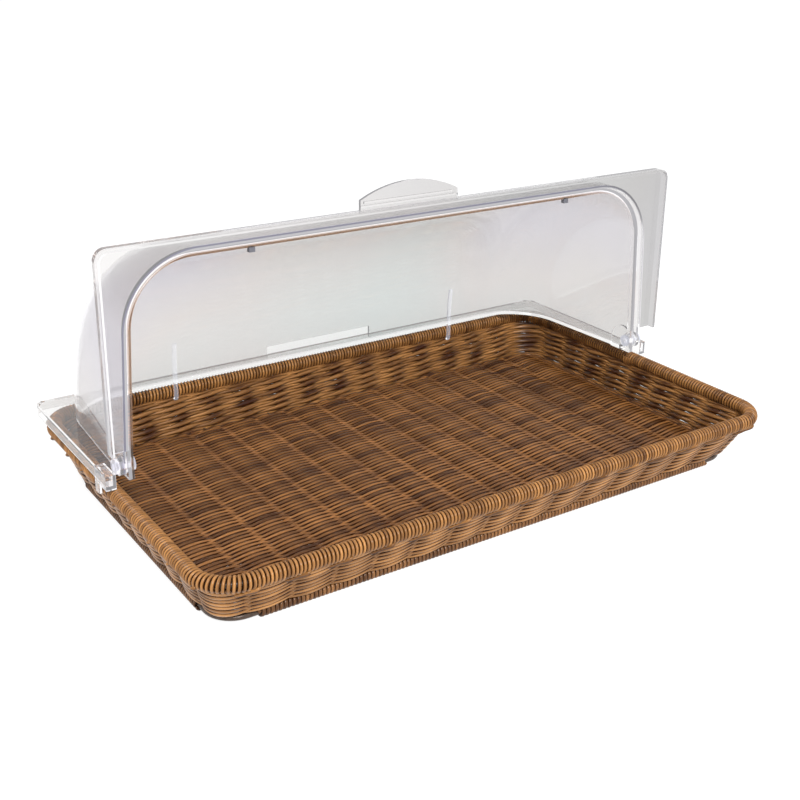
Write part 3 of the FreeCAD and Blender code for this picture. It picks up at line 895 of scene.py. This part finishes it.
@dataclass
class Basket:
    """Woven basket: strands on the wires of the frame."""

    honey: bpy.types.Material
    foot_painted_shade: bpy.types.Material
    floor_cane: bpy.types.Material
    long_stakes: int = 14
    short_stakes: int = 8
    rows: int = 7
    tuck: float = 0.4 * MM
    rim_bend: float = 32 * MM
    foot_bend: float = 24 * MM
    rim_winding: Winding = Winding(
        seed=7, half_out=1.8 * MM, half_along=1.48 * MM, pitch=3.42 * MM,
        tone=0.52, tone_jitter=0.24, slow_jitter=0.10, slow_knots=60,
    )
    foot_winding: Winding = Winding(
        seed=30, half_out=1.15 * MM, half_along=1.85 * MM, pitch=3.75 * MM,
        tone=0.5, tone_jitter=0.3, slow_jitter=0.15, slow_knots=20,
    )
    lash: Lashing = Lashing()
    loops: RimLoops = RimLoops()
    floor: FloorWeave = FloorWeave()
    rim: Outline = field(init=False)
    foot: Outline = field(init=False)
    rim_radius: float = field(init=False)
    foot_radius: float = field(init=False)

    def __post_init__(self) -> None:
        """Reads the outlines of the rim and of the foot from the frame."""
        low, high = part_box("rim_wrap")
        self.rim_radius = (high.z - low.z) / 2
        middle = (high.z + low.z) / 2
        self.rim = Outline(high.x - self.rim_radius, high.y - self.rim_radius, self.rim_bend, middle)
        low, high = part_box("foot_wrap_front")
        self.foot_radius = (high.y - low.y) / 2
        half_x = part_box("foot_wrap_right")[1].x - self.foot_radius
        self.foot = Outline(half_x, -low.y - self.foot_radius, self.foot_bend, high.z - self.foot_radius)

    def build(self) -> None:
        """Builds every woven piece."""
        self.wall()
        self.rim_wrap()
        self.lashing()
        self.base()
        for side in Side:
            self.foot_wrap(side)

    def wall_outline(self, height: float) -> Outline:
        """Middle surface of the wall at a height."""
        return self.foot.between(self.rim, (height - self.foot.height) / (self.rim.height - self.foot.height))

    def lean(self, outward: np.ndarray) -> np.ndarray:
        """How far the wall's outline grows sideways for each metre of height, at each outward direction.

        Args:
            outward: outward unit directions.

        Returns:
            One slope per direction: the growth of the corner's centre along that direction plus the growth
            of the corner's radius.
        """
        rise = self.rim.height - self.foot.height
        bend = (self.rim.bend - self.foot.bend) / rise
        grow_x = (self.rim.half_x - self.foot.half_x) / rise - bend
        grow_y = (self.rim.half_y - self.foot.half_y) / rise - bend
        return grow_x * np.abs(outward[:, 0]) + grow_y * np.abs(outward[:, 1]) + bend

    def twined_row(self, mesh: StrandMesh, outline: Outline, stakes: np.ndarray, row: TwinedRow) -> None:
        """Adds a pair of strands that twist round each other between the stakes.

        Args:
            mesh: where the strands go.
            outline: line that the row follows.
            stakes: distances of the stakes along it.
            row: sizes of the row.

        At a stake one strand is outside and the other inside. The distance outwards is the reach times the
        cosine of half a turn per stake, and the height is the lift times its sine, so that each stitch
        rises to the right. A leaning row turns both directions with the slope of the wall.
        """
        number = len(stakes)
        place = np.arange(number * row.samples) / row.samples
        known = np.concatenate([stakes, [stakes[0] + outline.total]])
        distance = np.interp(place, np.arange(number + 1), known)
        points, outward = outline.place(distance)
        slope = self.lean(outward) if row.leaning else np.zeros(len(outward))
        shrink = 1 / np.sqrt(1 + slope ** 2)
        upward = outward * (slope * shrink)[:, None]
        upward[:, 2] = shrink
        outward = outward * shrink[:, None]
        outward[:, 2] = -slope * shrink
        for half_turn in (0.0, math.pi):
            rng = np.random.default_rng(row.seed + int(half_turn > 0))
            phase = math.pi * place + half_turn
            bulge = np.cos(phase) ** 2
            reach = row.reach * np.cos(phase) + row.jitter * smooth_random(rng, number, place, number)
            lift = row.lift * np.sin(phase) + row.jitter * smooth_random(rng, number, place, number)
            centre = points + outward * (reach * shrink)[:, None] + upward * (lift / shrink)[:, None]
            half_up = (row.thin_up + (row.thick_up - row.thin_up) * bulge) / shrink
            half_out = (row.wide_out + (row.flat_out - row.wide_out) * bulge) * shrink
            tone = row.tone + row.tone_jitter * smooth_random(rng, number, place, number)
            # painted light and shade: lighter where the strand lies outside, darker where it lies inside
            tone += row.painted_outer_light_inner_shade * np.sign(np.cos(phase)) * bulge
            mesh.add(centre, outward, upward, half_out, half_up, tone, True)

    def wall(self) -> None:
        """Builds the woven wall out of twined rows, with a thin one tucked under the rim."""
        low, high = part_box("woven_wall")
        pitch = (high.z - low.z) / self.rows
        mesh = StrandMesh()
        for number in range(self.rows):
            outline = self.wall_outline(low.z + (number + 0.5) * pitch)
            stakes = outline.stakes(self.long_stakes, self.short_stakes)
            self.twined_row(mesh, outline, stakes, TwinedRow(seed=100 + 2 * number))
        tucked = self.wall_outline(high.z + self.tuck)
        stakes = tucked.stakes(self.long_stakes, self.short_stakes)
        sizes = TwinedRow(seed=90, reach=1.6 * MM, lift=0.7 * MM, thick_up=1.4 * MM, thin_up=1.3 * MM)
        self.twined_row(mesh, tucked, stakes, sizes)
        piece = mesh.piece("wall_weave", Body.BASKET, self.honey, Slot.RATTAN)
        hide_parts("woven_wall")

    def rim_wrap(self) -> None:
        """Builds the close winding of the rim, and the loops that tie it to the top row of the wall.

        The winding is a helix round the rim's centre line: outward times the cosine and up times the sine
        of the turn, at a constant radius, with a whole number of turns all the way round.
        """
        sizes, total = self.rim_winding, self.rim.total
        turns = round(total / sizes.pitch)
        step = np.arange(turns * sizes.samples)
        angle = 2 * math.pi * step / sizes.samples
        distance = total * step / (turns * sizes.samples)
        points, side = self.rim.place(distance)
        tangent = np.stack([-side[:, 1], side[:, 0], np.zeros(len(side))], axis=1)
        outward = side * np.cos(angle)[:, None]
        outward[:, 2] = np.sin(angle)
        rng = np.random.default_rng(sizes.seed)
        centre = points + outward * (self.rim_radius - sizes.half_out)
        tone = sizes.tones(rng, turns, distance, total)
        wide = sizes.half_along * (1 + sizes.width_jitter * smooth_random(rng, 2 * turns, distance, total))
        mesh = StrandMesh()
        mesh.add(centre, outward, -tangent, np.full(len(step), sizes.half_out), wide, tone, True)
        self.rim_loops(mesh)
        piece = mesh.piece("rim_winding", Body.BASKET, self.honey, Slot.RATTAN)
        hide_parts("rim_wrap")

    def rim_loops(self, mesh: StrandMesh) -> None:
        """Adds the slanted loops under the rim, one between each pair of stakes.

        Args:
            mesh: where the strands go.
        """
        sizes = self.loops
        stakes = self.rim.stakes(self.long_stakes, self.short_stakes)
        following = np.concatenate([stakes[1:], [stakes[0] + self.rim.total]])
        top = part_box("woven_wall")[1].z
        below = self.wall_outline(top)
        rng = np.random.default_rng(sizes.seed)
        for middle in (stakes + following) / 2:
            _, side = self.rim.place(np.array([middle]))
            on_end = abs(side[0, 0]) > sizes.end_facing
            shift = below.half_x - self.rim.half_x if on_end else below.half_y - self.rim.half_y
            slope = shift / (top - self.rim.height)
            stops = np.array(sizes.stops) * MM
            weight = np.clip((sizes.lean_start - stops[:, 2]) / (sizes.lean_start - sizes.lean_full), 0, 1)
            stops[:, 1] += weight * slope * stops[:, 2]
            stops[:, 0] += rng.uniform(-1.0, 1.0) * sizes.jitter
            curve = rounded_curve(stops, sizes.samples)
            points, outward = self.rim.place(middle + curve[:, 0])
            centre = points + outward * curve[:, 1:2]
            centre[:, 2] += curve[:, 2]
            shade = sizes.tone + sizes.tone_jitter * rng.uniform(-1, 1)
            self.loose_strand(mesh, centre, sizes.radius, shade)

    def loose_strand(self, mesh: StrandMesh, centre: np.ndarray, radius: float, shade: float) -> None:
        """Adds a round open strand along any curve, with its section square to the curve.

        Args:
            mesh: where the strand goes.
            centre: points along its middle.
            radius: its radius.
            shade: its tone.
        """
        tangent = np.gradient(centre, axis=0)
        tangent /= np.linalg.norm(tangent, axis=1)[:, None]
        never_along = np.array([0.3, 0.5, 0.81])
        guide = np.cross(tangent, never_along)
        guide /= np.linalg.norm(guide, axis=1)[:, None]
        other = np.cross(guide, tangent)
        size = radius * end_taper(len(centre))
        mesh.add(centre, guide, -other, size, size, np.full(len(centre), shade), False)

    def lashing(self) -> None:
        """Builds the strands that lock the end of the rim winding, on the right side.

        Each is part of a turn round the rim, whose two tips are tucked in.
        """
        low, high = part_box("rim_lashing")
        sizes, samples = self.lash, self.lash.samples
        pitch = (high.y - low.y) / sizes.strands
        radius = (high.x - low.x) / 2
        centre_x, centre_z = (high.x + low.x) / 2, low.z + radius
        angle = np.linspace(math.radians(sizes.start), math.radians(sizes.end), samples)
        outward = np.stack([np.cos(angle), np.zeros(samples), np.sin(angle)], axis=1)
        reach = np.full(samples, radius - sizes.half_out)
        reach[0] = reach[-1] = radius - 3 * sizes.half_out
        slant = np.linspace(sizes.slant, -sizes.slant, samples) * pitch
        size = end_taper(samples)
        mesh = StrandMesh()
        for number in range(sizes.strands):
            centre = outward * reach[:, None]
            centre += np.array([centre_x, low.y + (number + 0.5) * pitch, centre_z])
            centre[:, 1] += slant
            tone = np.full(samples, sizes.tone + sizes.tone_step * (number - 1))
            upward = repeated((0.0, -1.0, 0.0), samples)
            mesh.add(centre, outward, upward, sizes.half_out * size, sizes.half_along * size, tone, False)
        piece = mesh.piece("rim_lashing_strands", Body.BASKET, self.honey, Slot.RATTAN)
        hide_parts("rim_lashing")

    def base(self) -> None:
        """Builds the woven floor: its rows, the stakes across them and a twined border."""
        low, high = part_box("woven_base")
        sizes = self.floor
        edge = self.wall_outline((low.z + high.z) / 2).inset(sizes.inset)
        spacing = 2 * (self.foot.half_x - self.foot.bend) / self.long_stakes
        mesh = StrandMesh(section=6)
        self.base_rows(mesh, edge, spacing)
        self.base_stakes(mesh, edge, spacing)
        border = edge.inset(sizes.border_inset)
        cells = 2 * int(border.total / sizes.border_cell / 2)
        half = sizes.border_half
        twist = TwinedRow(
            seed=60, leaning=False, samples=8, reach=1.1 * MM, lift=1.2 * MM, jitter=0.1 * MM,
            thick_up=half, thin_up=half, flat_out=half, wide_out=half,
        )
        self.twined_row(mesh, border, np.arange(cells) * border.total / cells, twist)
        piece = mesh.piece("base_weave", Body.BASKET, self.floor_cane, Slot.RATTAN)
        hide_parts("woven_base")

    def base_rows(self, mesh: StrandMesh, edge: Outline, spacing: float) -> None:
        """Adds the rows of the floor: pairs of strands along X that twist round each other.

        Args:
            mesh: where the strands go.
            edge: outline of the floor.
            spacing: length of half a turn of a pair.

        At a cross stake one strand of a pair lies over it and the other under it. The height is the reach
        times the cosine of half a turn per spacing, and the shift sideways is the sway times its sine.
        """
        sizes = self.floor
        count = int((2 * edge.half_y - 2 * sizes.margin) / sizes.pitch)
        rng = np.random.default_rng(sizes.seed)
        for number in range(count):
            y = (number - (count - 1) / 2) * sizes.pitch
            into_corner = max(0.0, abs(y) - edge.runs[1])
            cut_off = edge.bend - math.sqrt(max(edge.bend ** 2 - into_corner ** 2, 0.0))
            extent = edge.half_x - sizes.margin - cut_off
            steps = round(2 * extent / spacing * sizes.samples) + 1
            x = np.linspace(-extent, extent, steps)
            outward = repeated((0.0, 0.0, 1.0), steps)
            upward = repeated((0.0, 1.0, 0.0), steps)
            size = end_taper(steps, 1)
            for half_turn in (0.0, math.pi):
                phase = math.pi * x / spacing + half_turn
                bulge = np.cos(phase) ** 2
                height = edge.height + sizes.reach * np.cos(phase)
                centre = np.stack([x, y + sizes.sway * np.sin(phase), height], axis=1)
                centre[:, 1] += sizes.jitter * smooth_random(rng, sizes.sway_knots, x + extent, 2 * extent)
                flat = sizes.half - sizes.flatter * bulge
                wide = sizes.half + sizes.wider * bulge
                tone = sizes.tone + sizes.tone_jitter * rng.uniform(-1, 1)
                tone += sizes.slow_jitter * smooth_random(rng, sizes.slow_knots, x + extent, 2 * extent)
                mesh.add(centre, outward, upward, flat * size, wide * size, tone, False)

    def base_stakes(self, mesh: StrandMesh, edge: Outline, spacing: float) -> None:
        """Adds the straight stakes across the floor, between its corners.

        Args:
            mesh: where the strands go.
            edge: outline of the floor.
            spacing: half the distance between two stakes.
        """
        sizes, count = self.floor, self.floor.stake_samples
        places = (np.arange(sizes.stakes) - (sizes.stakes - 1) / 2) * 2 * spacing
        y = np.linspace(-edge.half_y + sizes.margin, edge.half_y - sizes.margin, count)
        outward = repeated((0.0, 0.0, 1.0), count)
        upward = repeated((-1.0, 0.0, 0.0), count)
        size = end_taper(count, 1)
        for x in places[np.abs(places) <= edge.runs[0]]:
            centre = np.stack([np.full(count, x), y, np.full(count, edge.height)], axis=1)
            half_up, half_across = sizes.stake_half_up * size, sizes.stake_half_across * size
            tone = np.full(count, sizes.stake_tone)
            mesh.add(centre, outward, upward, half_up, half_across, tone, False)

    def foot_wrap(self, side: Side) -> None:
        """Builds the winding on one straight side of the foot: a helix with a tapered tip at each end.

        Args:
            side: the side of the foot.
        """
        name = side.name.lower()
        low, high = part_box("foot_wrap_" + name)
        sizes, along_x = self.foot_winding, side in (Side.FRONT, Side.REAR)
        span = (high.x - low.x) if along_x else (high.y - low.y)
        turns = int((span - 2 * sizes.half_along) / sizes.pitch)
        count = turns * sizes.samples + 1
        angle = 2 * math.pi * np.arange(count) / sizes.samples
        place = np.linspace(-span / 2 + sizes.half_along, span / 2 - sizes.half_along, count)
        turn = math.radians(90 * side.value - 90)
        facing = np.array([math.cos(turn), math.sin(turn), 0.0])
        tangent = np.array([-facing[1], facing[0], 0.0])
        middle = facing * (self.foot.half_y if along_x else self.foot.half_x)
        middle[2] = self.foot.height
        outward = facing[None, :] * np.cos(angle)[:, None]
        outward[:, 2] = np.sin(angle)
        centre = middle + tangent * place[:, None] + outward * (self.foot_radius - sizes.half_out)
        rng = np.random.default_rng(sizes.seed + side.value)
        tone = sizes.tones(rng, turns, place + span, 2 * span)
        size = end_taper(count)
        half_out, half_along = sizes.half_out * size, sizes.half_along * size
        mesh = StrandMesh()
        mesh.add(centre, outward, repeated(tuple(-tangent), count), half_out, half_along, tone, False)
        piece = mesh.piece("foot_winding_" + name, Body.BASKET, self.foot_painted_shade, Slot.RATTAN)
        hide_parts("foot_wrap_" + name)


@dataclass
class Cover:
    """Finishes of the clear cover and of the hidden wires, which keep their shapes from the frame."""

    nodes: dict[str, bpy.types.Object]
    # painted light: strength of the glow along the front edges of the clear covers
    edge_glow: float = 0.37

    def paint(self, names: tuple[str, ...], material: bpy.types.Material) -> None:
        """Gives nodes of the frame one material.

        Args:
            names: names of the nodes.
            material: their finish.
        """
        for name in names:
            mesh = self.nodes[name].data
            mesh.materials.clear()
            mesh.materials.append(material)
            LOG.info("%s: finish %s", name, material.name)

    def build(self) -> None:
        """Paints every node that stays in view."""
        # painted light: each clear part glows by its inner_glow, and the covers' front edges by edge_glow
        fixed = ClearFinish("clear_fixed", inner_glow=0.03, edge_glow=self.edge_glow)
        roll_top = ClearFinish(
            "clear_roll_top",
            inner_glow=0.05, edge_glow=self.edge_glow, plate_grey=0.58, plate_rear=PLATE_REAR,
        )
        # painted light: the small clear parts glow more, which lightens them
        small = ClearFinish("clear_small", inner_glow=0.15, index=1.22)
        washer = ClearFinish("milky_washer", inner_glow=0.10, index=1.22, roughness=0.25)
        rubber = PlainFinish(
            "grey_rubber", (0.10, 0.10, 0.12), (0.16, 0.16, 0.18), scale=900.0, roughness=0.6
        )
        steel = PlainFinish(
            "coated_wire", (0.045, 0.028, 0.02), (0.09, 0.055, 0.035),
            scale=400.0, roughness=0.35, metallic=0.3,
        )
        pins = ("hinge_pin_left", "hinge_pin_right", "pin_cap_left", "pin_cap_right", "rim_clips")
        wires = ("rim_frame_wire", "foot_frame_wire", "wall_uprights", "base_cross_wires")
        self.paint(("fixed_cover",), fixed.material())
        self.paint(("moving_cover",), roll_top.material())
        self.paint(pins, small.material())
        self.paint(("hinge_washer_left", "hinge_washer_right"), washer.material())
        self.paint(("edge_pegs",), rubber.material())
        self.paint(wires, steel.material())


@dataclass(frozen=True)
class Softbox:
    """Square area light that looks at a point."""

    name: str
    place: tuple[float, float, float]
    size: float
    power: float
    aim: tuple[float, float, float] = (0.0, 0.0, 0.1)

    def build(self) -> None:
        """Adds the light to the scene."""
        data = bpy.data.lights.new(self.name, "AREA")
        data.shape = "SQUARE"
        data.size = self.size
        data.energy = self.power
        light = bpy.data.objects.new(self.name, data)
        light.location = self.place
        direction = Vector(self.aim) - Vector(self.place)
        light.rotation_euler = direction.to_track_quat("-Z", "Y").to_euler()
        bpy.context.scene.collection.objects.link(light)


@dataclass(frozen=True)
class Viewpoint:
    """Camera of the photo."""

    azimuth: float = -35.182
    elevation: float = 20.568
    roll: float = 1.169
    distance: float = 1.187647
    target: tuple[float, float, float] = (0.054518, 0.047817, 0.093756)
    focal_pixels: float = 1186.92
    centre: tuple[float, float] = (430.0, 350.0)
    picture: float = 800.0
    sensor: float = 36.0

    def build(self) -> None:
        """Adds the camera and makes it the scene's own."""
        az, el, roll = (math.radians(value) for value in (self.azimuth, self.elevation, self.roll))
        back = Vector((math.sin(az) * math.cos(el), -math.cos(az) * math.cos(el), math.sin(el)))
        right = Vector((0, 0, 1)).cross(back).normalized()
        up = back.cross(right)
        turned_right = right * math.cos(roll) + up * math.sin(roll)
        turned_up = up * math.cos(roll) - right * math.sin(roll)
        data = bpy.data.cameras.new("photo_camera")
        data.sensor_width = self.sensor
        data.lens = self.focal_pixels / self.picture * self.sensor
        data.shift_x = -(self.centre[0] - self.picture / 2) / self.picture
        data.shift_y = (self.centre[1] - self.picture / 2) / self.picture
        data.dof.use_dof = False
        camera = bpy.data.objects.new("photo_camera", data)
        matrix = Matrix((turned_right, turned_up, back)).transposed().to_4x4()
        matrix.translation = Vector(self.target) + back * self.distance
        camera.matrix_world = matrix
        bpy.context.scene.collection.objects.link(camera)
        bpy.context.scene.camera = camera


@dataclass
class Studio:
    """Floor, world and lights."""

    ambient: float = 0.53
    floor_half: float = 40.0
    lights: tuple[Softbox, ...] = (
        Softbox("key", (-0.8, -2.1, 1.9), size=0.6, power=85.0),
        Softbox("fill", (1.9, -1.2, 1.3), size=1.2, power=6.0),
        Softbox("back", (-1.6, 0.6, 1.9), size=1.0, power=22.0),
    )

    def build(self) -> None:
        """Adds everything round the object."""
        self.floor()
        self.world()
        for light in self.lights:
            light.build()
        bpy.context.scene.view_settings.view_transform = "Standard"

    def floor(self) -> None:
        """Adds a wide pale floor with a glow of its own, on which the object's shadow stays faint."""
        half = self.floor_half
        mesh = bpy.data.meshes.new("floor")
        corners = [(-half, -half, 0), (half, -half, 0), (half, half, 0), (-half, half, 0)]
        mesh.from_pydata(corners, [], [(0, 1, 2, 3)])
        finish = PlainFinish(
            "pale_floor", (0.24, 0.24, 0.24), (0.22, 0.22, 0.22), scale=3.0, roughness=0.9, glow=0.84
        )
        mesh.materials.append(finish.material())
        floor = bpy.data.objects.new("floor", mesh)
        bpy.context.scene.collection.objects.link(floor)

    def world(self) -> None:
        """Sets a white background that lights the scene more softly than it shows."""
        world = bpy.data.worlds.new("studio")
        world.use_nodes = True
        world.node_tree.nodes.clear()
        tree = Tree(world.node_tree)
        path = tree.node("ShaderNodeLightPath").outputs
        seen = path["Is Camera Ray"]
        for name in ("Is Glossy Ray", "Is Transmission Ray"):
            seen = tree.calc("MAXIMUM", seen, path[name])
        level = tree.remap(seen, 0.0, 1.0, self.ambient, 1.0)
        ground = tree.node("ShaderNodeBackground", {"Color": (1, 1, 1, 1), "Strength": level})
        tree.node("ShaderNodeOutputWorld", {"Surface": ground.outputs[0]})
        bpy.context.scene.world = world


def main() -> None:
    """Builds the looks."""
    logging.basicConfig(level=logging.INFO, format="%(message)s")
    honey = RattanFinish("rattan_honey", (0.036, 0.009, 0.002), (0.51, 0.240, 0.074))
    # painted shade: the foot windings take a darker copy of the honey rattan, for the shade under the basket
    foot_painted_shade = RattanFinish("rattan_foot_painted_shade", (0.036, 0.012, 0.004), (0.30, 0.138, 0.048))
    floor_cane = RattanFinish("rattan_floor", (0.032, 0.009, 0.002), (0.36, 0.155, 0.047))
    Basket(honey.material(), foot_painted_shade.material(), floor_cane.material()).build()
    Cover(frame["nodes"]).build()
    Studio().build()
    Viewpoint().build()


if __name__ == "__main__":
    main()
